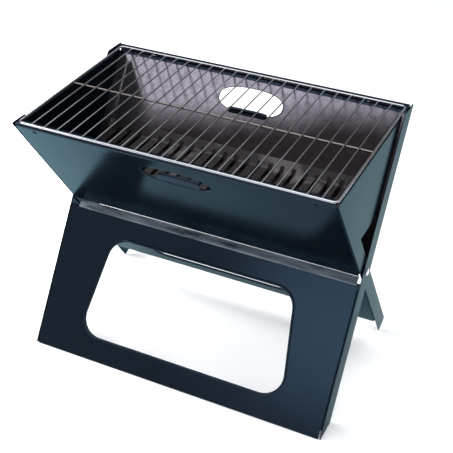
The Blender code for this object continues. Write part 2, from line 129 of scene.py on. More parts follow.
END_FRONT_Z = 0.362
END_REAR_Z = 0.3663
END_FOOT_Z = 0.2545
END_FRONT_GAP = 0.0007
END_REAR_TUCK = 0.004
END_FLANGE = 0.006

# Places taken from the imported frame
PIVOT_Z = sum(corner[2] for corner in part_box("pivot_rivet_right")) / 2
OUTER_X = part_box("outer_rail_right")[1][0]
INNER_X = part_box("inner_rail_right")[1][0]
OUTER_SHEET_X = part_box("rear_wall")[1][0]
INNER_SHEET_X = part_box("front_wall")[1][0]
REAR_RIM_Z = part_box("rear_wall")[1][2]
FRONT_RIM_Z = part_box("front_wall")[1][2]
REAR_WALL_S = -OUTER_RAIL / 2 + SHEET_T / 2
FRONT_LEG_S = OUTER_RAIL / 2 - SHEET_T / 2
INNER_WEB_S = INNER_RAIL / 2 - SHEET_T / 2
SHEET_STEP = SHEET_T + GAP
ON_EDGE = Matrix(((0, 0, 1), (1, 0, 0), (0, 1, 0))).to_4x4()  # x, y of a web to y, z


def tray(lean, s=0):
    """Tray coordinates to the world's, with the local origin at depth s."""
    turn = Matrix.Rotation(math.pi / 2 - lean, 4, "X")
    return Matrix.Translation((0, 0, PIVOT_Z)) @ turn @ Matrix.Translation((0, 0, s))


OUTER = tray(OUTER_LEAN)
INNER = tray(INNER_LEAN)


def up_to(tray_matrix, z, s):
    """How far up a tray the line at depth s reaches height z."""
    low, high = (tray_matrix @ Vector((0, u, s)) for u in (0, 1))
    return (z - low.z) / (high.z - low.z)


# Materials


def srgb(code):
    """A hex colour as linear values."""
    parts = [int(code[start : start + 2], 16) / 255 for start in (1, 3, 5)]
    linear = [
        part / 12.92 if part <= 0.04045 else ((part + 0.055) / 1.055) ** 2.4
        for part in parts
    ]
    return (*linear, 1.0)


def add(tree, kind, attributes=None, inputs=None):
    """Adds a node, with its settings and the values or sockets on its inputs."""
    made = tree.nodes.new("ShaderNode" + kind)
    for name, value in (attributes or {}).items():
        setattr(made, name, value)
    for name, value in (inputs or {}).items():
        if isinstance(value, bpy.types.NodeSocket):
            tree.links.new(value, made.inputs[name])
        else:
            made.inputs[name].default_value = value
    return made


def new_material(name):
    """A material with its node tree, its shader and the object coordinates."""
    made = bpy.data.materials.new(name)
    made.use_nodes = True
    tree = made.node_tree
    place = add(tree, "TexCoord").outputs["Object"]
    return made, tree, tree.nodes["Principled BSDF"], place


def stove_enamel():
    """Stove enamel: a glossy blue-black. Metallic is high only to turn its low reflections teal."""
    made, tree, shader, place = new_material("stove_enamel_baked")
    cloud = add(tree, "TexNoise", inputs={"Vector": place, "Scale": 9, "Detail": 3})
    tone = add(
        tree,
        "MixRGB",
        inputs={
            "Fac": cloud.outputs["Fac"],
            "Color1": srgb("#212a34"),
            "Color2": srgb("#28323d"),
        },
    )
    dust = add(tree, "TexNoise", inputs={"Vector": place, "Scale": 900, "Detail": 2})
    specks = add(
        tree,
        "MapRange",
        inputs={"Value": dust.outputs["Fac"], "From Min": 0.70, "From Max": 0.80},
    )
    dusted = add(
        tree,
        "MixRGB",
        inputs={
            "Fac": specks.outputs["Result"],
            "Color1": tone.outputs["Color"],
            "Color2": srgb("#566068"),
        },
    )
    tree.links.new(dusted.outputs["Color"], shader.inputs["Base Color"])
    gloss = add(
        tree,
        "MapRange",
        inputs={"Value": cloud.outputs["Fac"], "To Min": 0.15, "To Max": 0.24},
    )
    tree.links.new(gloss.outputs["Result"], shader.inputs["Roughness"])
    peel = add(tree, "TexNoise", inputs={"Vector": place, "Scale": 420, "Detail": 1})
    waves = add(tree, "TexNoise", inputs={"Vector": place, "Scale": 14, "Detail": 1})
    height = add(
        tree,
        "Math",
        {"operation": "MULTIPLY_ADD"},
        {0: waves.outputs["Fac"], 1: 9.0, 2: peel.outputs["Fac"]},
    )
    bump = add(
        tree,
        "Bump",
        inputs={"Strength": 0.015, "Distance": 0.0002, "Height": height.outputs["Value"]},
    )
    tree.links.new(bump.outputs["Normal"], shader.inputs["Normal"])
    shader.inputs["Metallic"].default_value = 0.85
    shader.inputs["Specular Tint"].default_value = srgb("#a2b3b6")
    return made


def band_painted_reflection_enamel():
    """The same enamel painted a pale silver grey in streaks: a painted reflection of the bright
    light that the leg's turned-back band mirrors.
    """
    made, tree, shader, place = new_material("stove_enamel_painted_reflection")
    stretch = add(tree, "Mapping", inputs={"Vector": place, "Scale": (1, 6, 6)})
    streak_noise = add(
        tree,
        "TexNoise",
        inputs={"Vector": stretch.outputs["Vector"], "Scale": 22, "Detail": 7},
    )
    reflection_streaks = add(
        tree,
        "MapRange",
        inputs={"Value": streak_noise.outputs["Fac"], "From Min": 0.30, "From Max": 0.66},
    )
    # Painted reflection: streaks of pale silver grey stand in for the bright light that the band
    # mirrors.
    tone = add(
        tree,
        "MixRGB",
        inputs={
            "Fac": reflection_streaks.outputs["Result"],
            "Color1": srgb("#36404a"),
            "Color2": srgb("#8b939b"),
        },
    )
    tree.links.new(tone.outputs["Color"], shader.inputs["Base Color"])
    gloss = add(
        tree,
        "MapRange",
        inputs={"Value": reflection_streaks.outputs["Result"], "To Min": 0.22, "To Max": 0.42},
    )
    tree.links.new(gloss.outputs["Result"], shader.inputs["Roughness"])
    shader.inputs["Metallic"].default_value = 0.35
    return made


def bright_liner():
    """Rolled steel left bright inside: a lilac mirror, painted dark brown low down and to the right
    as a painted reflection of the grill's dark inside.
    """
    made, tree, shader, place = new_material("rolled_steel_painted_reflection")
    apart = add(tree, "SeparateXYZ", inputs={"Vector": place})
    patch = add(tree, "TexNoise", inputs={"Vector": place, "Scale": 15, "Detail": 4})
    # Painted reflection: the tone goes dark brown towards the bottom and towards +x, standing in
    # for the dark inside that the wall mirrors.
    slope = add(
        tree,
        "Math",
        {"operation": "MULTIPLY_ADD"},
        {0: apart.outputs["X"], 1: -0.17, 2: apart.outputs["Z"]},
    )
    height = add(
        tree,
        "Math",
        {"operation": "MULTIPLY_ADD"},
        {0: patch.outputs["Fac"], 1: 0.035, 2: slope.outputs["Value"]},
    )
    pale_share = add(
        tree,
        "MapRange",
        {"interpolation_type": "SMOOTHSTEP"},
        {"Value": height.outputs["Value"], "From Min": 0.306, "From Max": 0.362},
    )
    tone = add(
        tree,
        "MixRGB",
        inputs={
            "Fac": pale_share.outputs["Result"],
            "Color1": srgb("#2b2325"),
            "Color2": srgb("#858187"),
        },
    )
    fine = add(tree, "TexNoise", inputs={"Vector": place, "Scale": 150, "Detail": 6})
    film = add(
        tree,
        "MapRange",
        inputs={"Value": fine.outputs["Fac"], "From Min": 0.42, "From Max": 0.80},
    )
    mottled = add(
        tree,
        "MixRGB",
        {"blend_type": "MULTIPLY"},
        {
            "Fac": film.outputs["Result"],
            "Color1": tone.outputs["Color"],
            "Color2": srgb("#c3bcc2"),
        },
    )
    tree.links.new(mottled.outputs["Color"], shader.inputs["Base Color"])
    gloss = add(
        tree,
        "MapRange",
        inputs={"Value": pale_share.outputs["Result"], "To Min": 0.40, "To Max": 0.11},
    )
    tree.links.new(gloss.outputs["Result"], shader.inputs["Roughness"])
    shader.inputs["Metallic"].default_value = 0.85
    return made


def heat_greyed_enamel():
    """Enamel baked by the fire: dull grey above, sooted brown-black lower down."""
    made, tree, shader, place = new_material("heat_greyed_enamel")
    apart = add(tree, "SeparateXYZ", inputs={"Vector": place})
    patch = add(
        tree, "TexNoise", inputs={"Vector": place, "Scale": 26, "Detail": 6, "Roughness": 0.6}
    )
    height = add(
        tree,
        "Math",
        {"operation": "MULTIPLY_ADD"},
        {0: patch.outputs["Fac"], 1: 0.060, 2: apart.outputs["Z"]},
    )
    pale_share = add(
        tree,
        "MapRange",
        {"interpolation_type": "SMOOTHSTEP"},
        {"Value": height.outputs["Value"], "From Min": 0.292, "From Max": 0.338},
    )
    tone = add(
        tree,
        "MixRGB",
        inputs={
            "Fac": pale_share.outputs["Result"],
            "Color1": srgb("#141316"),
            "Color2": srgb("#4c494f"),
        },
    )
    fine = add(tree, "TexNoise", inputs={"Vector": place, "Scale": 190, "Detail": 5})
    soot = add(
        tree,
        "MapRange",
        inputs={"Value": fine.outputs["Fac"], "From Min": 0.30, "From Max": 0.72},
    )
    mottled = add(
        tree,
        "MixRGB",
        {"blend_type": "MULTIPLY"},
        {
            "Fac": soot.outputs["Result"],
            "Color1": tone.outputs["Color"],
            "Color2": srgb("#c3bcc4"),
        },
    )
    tree.links.new(mottled.outputs["Color"], shader.inputs["Base Color"])
    gloss = add(
        tree,
        "MapRange",
        inputs={"Value": patch.outputs["Fac"], "To Min": 0.30, "To Max": 0.52},
    )
    tree.links.new(gloss.outputs["Result"], shader.inputs["Roughness"])
    bump = add(
        tree,
        "Bump",
        inputs={"Strength": 0.15, "Distance": 0.0002, "Height": fine.outputs["Fac"]},
    )
    tree.links.new(bump.outputs["Normal"], shader.inputs["Normal"])
    shader.inputs["IOR"].default_value = 1.52
    return made


def burnt_sheet():
    """Uncoated sheet steel scaled by charcoal: brown-black, with pale ash left on it."""
    made, tree, shader, place = new_material("sheet_steel_burnt")
    scale = add(tree, "TexNoise", inputs={"Vector": place, "Scale": 60, "Detail": 7})
    tone = add(
        tree,
        "MixRGB",
        inputs={
            "Fac": scale.outputs["Fac"],
            "Color1": srgb("#17161a"),
            "Color2": srgb("#3b3230"),
        },
    )
    drift = add(tree, "TexNoise", inputs={"Vector": place, "Scale": 24, "Detail": 8})
    ash = add(
        tree,
        "MapRange",
        inputs={"Value": drift.outputs["Fac"], "From Min": 0.54, "From Max": 0.74},
    )
    dusted = add(
        tree,
        "MixRGB",
        inputs={
            "Fac": ash.outputs["Result"],
            "Color1": tone.outputs["Color"],
            "Color2": srgb("#77716f"),
        },
    )
    tree.links.new(dusted.outputs["Color"], shader.inputs["Base Color"])
    bump = add(
        tree,
        "Bump",
        inputs={"Strength": 0.35, "Distance": 0.0003, "Height": scale.outputs["Fac"]},
    )
    tree.links.new(bump.outputs["Normal"], shader.inputs["Normal"])
    gloss = add(
        tree,
        "MapRange",
        inputs={"Value": ash.outputs["Result"], "To Min": 0.42, "To Max": 0.85},
    )
    tree.links.new(gloss.outputs["Result"], shader.inputs["Roughness"])
    shader.inputs["Metallic"].default_value = 0.35
    return made


def chromed_wire():
    """Chromed steel wire: bright, with a brown heat tint and grease in patches."""
    made, tree, shader, place = new_material("steel_wire_chromed")
    apart = add(tree, "SeparateXYZ", inputs={"Vector": place})
    middle = add(tree, "Math", {"operation": "ABSOLUTE"}, {0: apart.outputs["Y"]})
    patch = add(tree, "TexNoise", inputs={"Vector": place, "Scale": 34, "Detail": 5})
    reach = add(
        tree,
        "Math",
        {"operation": "MULTIPLY_ADD"},
        {0: patch.outputs["Fac"], 1: 0.10, 2: middle.outputs["Value"]},
    )
    bright = add(
        tree,
        "MapRange",
        {"interpolation_type": "SMOOTHSTEP"},
        {"Value": reach.outputs["Value"], "From Min": 0.075, "From Max": 0.185},
    )
    tone = add(
        tree,
        "MixRGB",
        inputs={
            "Fac": bright.outputs["Result"],
            "Color1": srgb("#7c7471"),
            "Color2": srgb("#b4b4b8"),
        },
    )
    tree.links.new(tone.outputs["Color"], shader.inputs["Base Color"])
    gloss = add(
        tree,
        "MapRange",
        inputs={"Value": bright.outputs["Result"], "To Min": 0.36, "To Max": 0.20},
    )
    tree.links.new(gloss.outputs["Result"], shader.inputs["Roughness"])
    grain = add(tree, "TexNoise", inputs={"Vector": place, "Scale": 700, "Detail": 2})
    bump = add(
        tree,
        "Bump",
        inputs={"Strength": 0.12, "Distance": 0.0001, "Height": grain.outputs["Fac"]},
    )
    tree.links.new(bump.outputs["Normal"], shader.inputs["Normal"])
    shader.inputs["Metallic"].default_value = 1.0
    return made


def zinced_rivet():
    """Zinc-plated steel: a soft bright grey with the hammer's small facets."""
    made, tree, shader, place = new_material("rivet_steel_zinced")
    cells = add(tree, "TexVoronoi", inputs={"Vector": place, "Scale": 900})
    tone = add(
        tree,
        "MixRGB",
        inputs={
            "Fac": cells.outputs["Distance"],
            "Color1": srgb("#b4b7bb"),
            "Color2": srgb("#dcdee0"),
        },
    )
    tree.links.new(tone.outputs["Color"], shader.inputs["Base Color"])
    bump = add(
        tree,
        "Bump",
        inputs={"Strength": 0.2, "Distance": 0.0001, "Height": cells.outputs["Distance"]},
    )
    tree.links.new(bump.outputs["Normal"], shader.inputs["Normal"])
    gloss = add(
        tree,
        "MapRange",
        inputs={"Value": cells.outputs["Distance"], "To Min": 0.24, "To Max": 0.40},
    )
    tree.links.new(gloss.outputs["Result"], shader.inputs["Roughness"])
    shader.inputs["Metallic"].default_value = 1.0
    return made


ENAMEL = stove_enamel()
BAND_PAINTED_REFLECTION = band_painted_reflection_enamel()
LINER = bright_liner()
FIRED = heat_greyed_enamel()
BURNT = burnt_sheet()
CHROME = chromed_wire()
ZINC = zinced_rivet()


# Sheet metal


def web(outline, holes=()):
    """A flat sheet on the XY plane, and the edges round each hole in it."""
    work = bmesh.new()
    loops = []
    for points in (outline, *holes):
        corners = [work.verts.new((x, y, 0)) for x, y in points]
        pairs = zip(corners, corners[1:] + corners[:1])
        loops.append([work.edges.new(pair) for pair in pairs])
    every = [edge for loop in loops for edge in loop]
    bmesh.ops.triangle_fill(work, use_beauty=True, edges=every, normal=(0, 0, 1))
    return work, loops[1:]


def edges_between(work, start, end):
    """The edges that lie on the straight line between two points."""
    start, end = Vector(start), Vector(end)
    along = (end - start).normalized()
    reach = (end - start).length

    def on_line(vert):
        out = vert.co - start
        way = out.dot(along)
        return -1e-6 < way < reach + 1e-6 and (out - along * way).length < 1e-6

    return [edge for edge in work.edges if all(on_line(vert) for vert in edge.verts)]


def drawn_out(work, edges, by):
    """Draws the sheet on from these edges, and returns its new end."""
    made = bmesh.ops.extrude_edge_only(work, edges=edges)["geom"]
    moved = [part for part in made if isinstance(part, bmesh.types.BMVert)]
    bmesh.ops.translate(work, verts=moved, vec=by)
    ends = set(moved)
    sides = [part for part in made if isinstance(part, bmesh.types.BMEdge)]
    return [edge for edge in sides if set(edge.verts) <= ends]


def turned_up(work, edges, ahead, toward, angle, length, radius=BEND_R):
    """Bends the sheet on from these edges through an angle, then straight for a length."""
    ahead, toward = Vector(ahead), Vector(toward)
    ends = list(dict.fromkeys(vert for edge in edges for vert in edge.verts))
    spun = bmesh.ops.spin(
        work,
        geom=ends + edges,
        cent=ends[0].co + toward * radius,
        axis=ahead.cross(toward),
        angle=angle,
        steps=BEND_STEPS,
    )
    far = [part for part in spun["geom_last"] if isinstance(part, bmesh.types.BMEdge)]
    heading = ahead * math.cos(angle) + toward * math.sin(angle)
    return drawn_out(work, far, heading * length)


def rolled_lip(work, loop, middle, half, steps):
    """Rolls the sheet round a hole: steps of (how far into it, how far out of the sheet)."""
    gone_in = gone_out = 0
    for to_in, to_out in steps:
        made = bmesh.ops.extrude_edge_only(work, edges=loop)["geom"]
        moved = [part for part in made if isinstance(part, bmesh.types.BMVert)]
        shrink = [(size - to_in) / (size - gone_in) for size in half]
        away = Matrix.Translation((-middle[0], -middle[1], 0))
        bmesh.ops.scale(work, vec=(*shrink, 1), space=away, verts=moved)
        bmesh.ops.translate(work, vec=(0, 0, to_out - gone_out), verts=moved)
        gone_in, gone_out = to_in, to_out
        ends = set(moved)
        sides = [part for part in made if isinstance(part, bmesh.types.BMEdge)]
        loop = [edge for edge in sides if set(edge.verts) <= ends]


def facing(work, ahead=(0, 0, 1)):
    """Turns the sheet's faces one way, so that its flat middle faces ahead."""
    bmesh.ops.recalc_face_normals(work, faces=work.faces)
    largest = max(work.faces, key=lambda face: face.calc_area())
    if largest.normal.dot(Vector(ahead)) < 0:
        bmesh.ops.reverse_faces(work, faces=work.faces)


def piece(name, work, place, finishes, body, nodes):
    """Puts a finished shape in its place, as one object that rides on its body."""
    bmesh.ops.transform(work, matrix=place, verts=work.verts)
    mesh = bpy.data.meshes.new(name)
    work.to_mesh(mesh)
    work.free()
    for finish in finishes:
        mesh.materials.append(finish)
    mesh.shade_smooth()
    made = bpy.data.objects.new(name, mesh)
    bpy.context.scene.collection.objects.link(made)
    if nodes:
        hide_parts(*nodes)
    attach(made, body)
    return made


def sheet_metal(name, work, place, body, node, back=None, thickness=SHEET_T, front=None):
    """A bent sheet with its thickness, broken edges and crisp flats."""
    front = front or ENAMEL
    finishes = [front, back or front]
    facing(work)
    made = piece(name, work, place, finishes, body, [node] if node else [])
    wall = made.modifiers.new("thickness", "SOLIDIFY")
    wall.thickness = thickness
    wall.offset = 0
    wall.use_even_offset = True
    wall.material_offset = 1 if back else 0
    burr = made.modifiers.new("broken_edges", "BEVEL")
    burr.width = EDGE_BREAK
    burr.segments = 1
    burr.limit_method = "ANGLE"
    burr.angle_limit = math.radians(50)
    flats = made.modifiers.new("crisp_flats", "WEIGHTED_NORMAL")
    flats.keep_sharp = True
    return made


def rounded(points, radius, steps=8):
    """The outline with each corner turned into an arc."""
    outline = []
    for index, corner in enumerate(points):
        here = Vector(corner)
        before = (Vector(points[index - 1]) - here).normalized()
        after = (Vector(points[(index + 1) % len(points)]) - here).normalized()
        half = before.angle(after) / 2
        centre = here + (before + after).normalized() * (radius / math.sin(half))
        start = here + before * (radius / math.tan(half)) - centre
        end = here + after * (radius / math.tan(half)) - centre
        for step in range(steps + 1):
            spoke = start.slerp(end, step / steps).normalized()
            outline.append(tuple(centre + spoke * radius))
    return outline


def lens(middle_u, grow):
    """A handle slot's outline, a long rounded lens, grown by so much."""
    half_x, half_u = (size + grow for size in SLOT_HALF)
    outline = []
    for step in range(56):
        turn = 2 * math.pi * step / 56
        power = 2 / SLOT_ROUNDNESS
        x = math.copysign(abs(math.cos(turn)) ** power, math.cos(turn)) * half_x
        u = math.copysign(abs(math.sin(turn)) ** power, math.sin(turn)) * half_u
        outline.append((x, middle_u + u))
    return outline


def circle(x, y, radius, steps=24):
    turns = [2 * math.pi * step / steps for step in range(steps)]
    return [(x + radius * math.cos(turn), y + radius * math.sin(turn)) for turn in turns]


def window_outline(shape, grow):
    (top_u, top_half), (foot_u, foot_half) = shape
    corners = (
        (-top_half - grow, top_u + grow),
        (-foot_half - grow, foot_u - grow),
        (foot_half + grow, foot_u - grow),
        (top_half + grow, top_u + grow),
    )
    return rounded(corners, WINDOW_CORNER)


LIP = ((0.0006, 0.0003), (0.0010, 0.0009), (0.0010, 0.0018), (0.0007, 0.0026))
HEM = (
    (0.0003, 0.0008),
    (0.0009, 0.0014),
    (0.0018, 0.0015),
    (0.0026, 0.0010),
    (0.0028, 0.0000),
    (0.0026, -0.0007),
    (0.0018, -0.0011),
)
HEM_IN = HEM[4][0]


def flanged_web(half, low, high, flange_low, flange_high, holes, toward, finish=0):
    """A web with both ends turned back along the rails, from x = -half to half."""
    edge = half - SHEET_T / 2 - BEND_R
    outline = [(-edge, low), (edge, low), (edge, flange_low), (edge, flange_high)]
    outline += [(edge, high), (-edge, high), (-edge, flange_high), (-edge, flange_low)]
    work, loops = web(outline, holes)
    side_flanges(work, edge, flange_low, flange_high, toward, finish)
    return work, loops, edge


def side_flanges(work, edge, low, high, toward, finish=0):
    """Turns both ends of a web back along the rails, between two heights."""
    flat = set(work.faces)
    for side in (-1, 1):
        edges = edges_between(work, (side * edge, low, 0), (side * edge, high, 0))
        length = SIDE_FLANGE - BEND_R
        turned_up(work, edges, (side, 0, 0), (0, 0, toward), math.pi / 2, length)
    for face in set(work.faces) - flat:
        face.material_index = finish


def wall(half, foot, flange_low, top, rim_depth, lean, slot_u, toward, finish, vents=()):
    """A fire wall: a web with a handle slot, side flanges and its rim bent level."""
    angle = math.pi / 2 + abs(lean)
    tangent = RIM_BEND_R * math.tan(angle / 2)
    high = top - tangent
    holes = [lens(slot_u, 0), *vents]
    flange = (flange_low, top - 0.012)
    work, loops, edge = flanged_web(half, foot, high, *flange, holes, toward, finish)
    rim = edges_between(work, (-edge, high, 0), (edge, high, 0))
    length = rim_depth - tangent
    turned_up(work, rim, (0, 1, 0), (0, 0, toward), angle, length, RIM_BEND_R)
    steps = [(to_in, toward * to_out) for to_in, to_out in LIP]
    rolled_lip(work, loops[0], (0, slot_u), SLOT_HALF, steps)
    return work


def tongue(name, place, slot_u, rise, toward, body):
    """The punched-out tongue, curled inward from the slot's lower edge."""
    curl = (
        (-0.0016, 0.0000),
        (0.22 * rise, 0.0004),
        (0.45 * rise, 0.0012),
        (0.70 * rise, 0.0024),
        (0.88 * rise, 0.0038),
        (0.98 * rise, 0.0054),
        (rise - 0.0006, 0.0068),
        (rise - 0.0020, 0.0076),
        (rise - 0.0034, 0.0074),
        (rise - 0.0042, 0.0064),
    )
    last = len(curl) - 1
    work = bmesh.new()
    bmesh.ops.create_grid(work, x_segments=32, y_segments=last, size=0.5)
    foot = slot_u - SLOT_HALF[1]
    for vert in work.verts:
        across = vert.co.x * 2
        row = round((vert.co.y + 0.5) * last)
        up, depth = curl[row]
        share = row / last
        sag = 0.30 * rise * across**6 * share
        x = across * TONGUE_HALF * (1 - 0.06 * share**2)
        vert.co = (x, foot + up - sag, toward * depth)
    return sheet_metal(name, work, place, body, None)


def make_fire_walls():
    top = up_to(INNER, FRONT_RIM_Z - SHEET_T / 2, INNER_WEB_S)
    xs = [(index - 1.5) * VENT_PITCH + VENT_SHIFT_X for index in range(4)]
    vents = [circle(x, VENT_U, VENT_R) for x in xs]
    sizes = (INNER_SHEET_X, 0.008, 0.016, top, FRONT_RIM_DEPTH)
    work = wall(*sizes, INNER_LEAN, FRONT_SLOT_U, -1, 0, vents)
    place = tray(INNER_LEAN, INNER_WEB_S)
    sheet_metal("front_fire_wall", work, place, "inner_tray", "front_wall", back=FIRED)
    tongue("front_handle_tongue", place, FRONT_SLOT_U, FRONT_TONGUE, -1, "inner_tray")

    top = up_to(OUTER, REAR_RIM_Z - SHEET_T / 2, REAR_WALL_S)
    sizes = (OUTER_SHEET_X, 0.012, 0.020, top, REAR_RIM_DEPTH)
    work = wall(*sizes, OUTER_LEAN, REAR_SLOT_U, 1, 1)
    place = tray(OUTER_LEAN, REAR_WALL_S)
    # The inner face gets the liner, whose dark brown low down and to the right is a painted
    # reflection.
    finish = {"front": LINER, "back": ENAMEL}
    sheet_metal("rear_fire_wall", work, place, "outer_tray", "rear_wall", **finish)
    tongue("rear_handle_tongue", place, REAR_SLOT_U, REAR_TONGUE, 1, "outer_tray")


def make_legs():
    """Both leg sheets, each with a window whose edge is rolled into a bead."""
    foot = up_to(OUTER, 0.0005, FRONT_LEG_S) + SHEET_T / 2 * math.tan(OUTER_LEAN)
    top = FRONT_LEG_TOP
    angle = math.atan2(BAND_BACK, BAND_RISE)
    tangent = BAND_R * math.tan(angle / 2)
    hole = window_outline(FRONT_WINDOW, HEM_IN)
    edge = OUTER_SHEET_X - SHEET_T / 2 - BEND_R
    left, right = BAND_ENDS
    crest = top - tangent
    outline = [(-edge, foot), (edge, foot), (edge, foot + 0.012), (edge, top - 0.006)]
    outline += [(edge, crest), (right, crest), (left, crest), (-edge, crest)]
    outline += [(-edge, top - 0.006), (-edge, foot + 0.012)]
    work, loops = web(outline, [hole])
    side_flanges(work, edge, foot + 0.012, top - 0.006, -1)
    band = edges_between(work, (left, crest, 0), (right, crest, 0))
    flat = set(work.faces)
    length = math.hypot(BAND_RISE, BAND_BACK) - tangent
    turned_up(work, band, (0, 1, 0), (0, 0, -1), angle, length, BAND_R)
    for face in set(work.faces) - flat:
        face.material_index = 1
    bead(work, loops[0], FRONT_WINDOW, 1)
    place = tray(OUTER_LEAN, FRONT_LEG_S)
    leg = sheet_metal("front_leg_sheet", work, place, "outer_tray", "front_leg")
    # The turned-back band gets enamel painted pale as a painted reflection.
    leg.data.materials[1] = BAND_PAINTED_REFLECTION

    edge = INNER_SHEET_X - SHEET_T / 2 - BEND_R
    low, high = REAR_LEG_FOOT, REAR_LEG_TOP
    outline = [(-edge, low), (edge, low), (edge, low + 0.005), (edge, high - 0.005)]
    outline += [(edge, high)]
    outline += [(-x, u) for x, u in reversed(outline)]
    work, loops = web(outline, [window_outline(REAR_WINDOW, HEM_IN)])
    side_flanges(work, edge, low + 0.005, high - 0.005, -1)
    bead(work, loops[0], REAR_WINDOW, 1)
    place = tray(INNER_LEAN, INNER_WEB_S)
    sheet_metal("rear_leg_sheet", work, place, "inner_tray", "rear_leg")


def bead(work, loop, shape, outward):
    """Rolls a window's edge into a bead that stands proud of the sheet."""
    (top_u, top_half), (foot_u, foot_half) = shape
    middle = (0, (top_u + foot_u) / 2)
    half = ((top_half + foot_half) / 2 + HEM_IN, (top_u - foot_u) / 2 + HEM_IN)
    steps = [(to_in, outward * to_out) for to_in, to_out in HEM]
    rolled_lip(work, loop, middle, half, steps)


def make_rim_strips():
    """An angle under each rim, on the inside of its wall."""
    pairs = (
        ("rear", REAR_RIM_Z, OUTER, OUTER_LEAN, REAR_WALL_S + SHEET_STEP, 1, "outer_tray"),
        ("front", FRONT_RIM_Z, INNER, INNER_LEAN, INNER_WEB_S - SHEET_STEP, -1, "inner_tray"),
    )
    for word, rim_z, matrix, lean, s, toward, body in pairs:
        node = f"{word}_rim_strip"
        top = up_to(matrix, rim_z - SHEET_T / 2 - SHEET_STEP, s)
        angle = math.pi / 2 + abs(lean)
        tangent = BEND_R * math.tan(angle / 2)
        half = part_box(node)[1][0]
        drop = REAR_STRIP_DROP if word == "rear" else FRONT_STRIP_DROP
        low, high = top - drop, top - tangent
        outline = [(-half, low), (half, low), (half, high), (-half, high)]
        work, _ = web(outline)
        edges = edges_between(work, (-half, high, 0), (half, high, 0))
        turned_up(work, edges, (0, 1, 0), (0, 0, toward), angle, STRIP_LEDGE - tangent)
        sheet_metal(f"{word}_rim_angle", work, tray(lean, s), body, node)


def side_plate(name, corners, x, radius, body, node, thickness):
    """A flat plate standing on edge at x, from its corners as (y, z)."""
    work, _ = web(rounded(corners, radius, 3))
    place = Matrix.Translation((x, 0, 0)) @ ON_EDGE
    return sheet_metal(name, work, place, body, node, thickness=thickness)


def on_tray(matrix, u, s):
    return tuple((matrix @ Vector((0, u, s))).yz)


def at_height(matrix, z, s):
    return on_tray(matrix, up_to(matrix, z, s), s)


def make_rails():
    half = OUTER_RAIL / 2
    outer = (
        at_height(OUTER, 0, half),
        at_height(OUTER, 0, -half),
        at_height(OUTER, REAR_RIM_Z, -half),
        at_height(OUTER, REAR_RIM_Z, half),
    )
    half = INNER_RAIL / 2
    inner = (
        at_height(INNER, 0, half),
        on_tray(INNER, INNER_FOOT_BACK, -half),
        at_height(INNER, FRONT_RIM_Z, -half),
        at_height(INNER, FRONT_RIM_Z, half),
    )
    for word, side in (("left", -1), ("right", 1)):
        x = side * (OUTER_X - RAIL_T / 2)
        sizes = (outer, x, RAIL_CORNER, "outer_tray", f"outer_rail_{word}", RAIL_T)
        side_plate(f"outer_side_rail_{word}", *sizes)
        x = side * (INNER_X - RAIL_T / 2)
        sizes = (inner, x, RAIL_CORNER, "inner_tray", f"inner_rail_{word}", RAIL_T)
        side_plate(f"inner_side_rail_{word}", *sizes)


def make_end_plates():
    """A loose plate closes each end, its top edge turned in under the grid."""
    front_s = INNER_WEB_S - SIDE_FLANGE - END_FRONT_GAP
    rear_s = OUTER_RAIL / 2 - END_REAR_TUCK
    front_top = at_height(INNER, END_FRONT_Z, front_s)
    rear_top = at_height(OUTER, END_REAR_Z, rear_s)
    front_foot = at_height(INNER, END_FOOT_Z, front_s)
    rear_foot = at_height(OUTER, END_FOOT_Z, rear_s)
    for word, side in (("left", -1), ("right", 1)):
        node = f"end_plate_{word}"
        level = math.atan2(rear_top[1] - front_top[1], rear_top[0] - front_top[0])
        base = Matrix.Translation((0, *front_top)) @ Matrix.Rotation(level, 4, "X")
        back = base.inverted()
        corners = [
            tuple((back @ Vector((0, *point))).yz)
            for point in (front_foot, rear_foot, rear_top, front_top)
        ]
        low = -BEND_R
        front_run, rear_run = corners[3], corners[2]

        def along(start, end, height):
            share = (height - start[1]) / (end[1] - start[1])
            return start[0] + (end[0] - start[0]) * share, height

        left = along(corners[0], front_run, low)
        right = along(corners[1], rear_run, low)
        outline = [corners[0], corners[1], right, left]
        work, _ = web(outline)
        edges = edges_between(work, (*left, 0), (*right, 0))
        length = END_FLANGE - BEND_R
        turned_up(work, edges, (0, 1, 0), (0, 0, -side), math.pi / 2, length)
        x = side * (INNER_SHEET_X - SHEET_T / 2)
        place = Matrix.Translation((x, 0, 0)) @ base @ ON_EDGE
        sheet_metal(f"end_sheet_{word}", work, place, node, node)


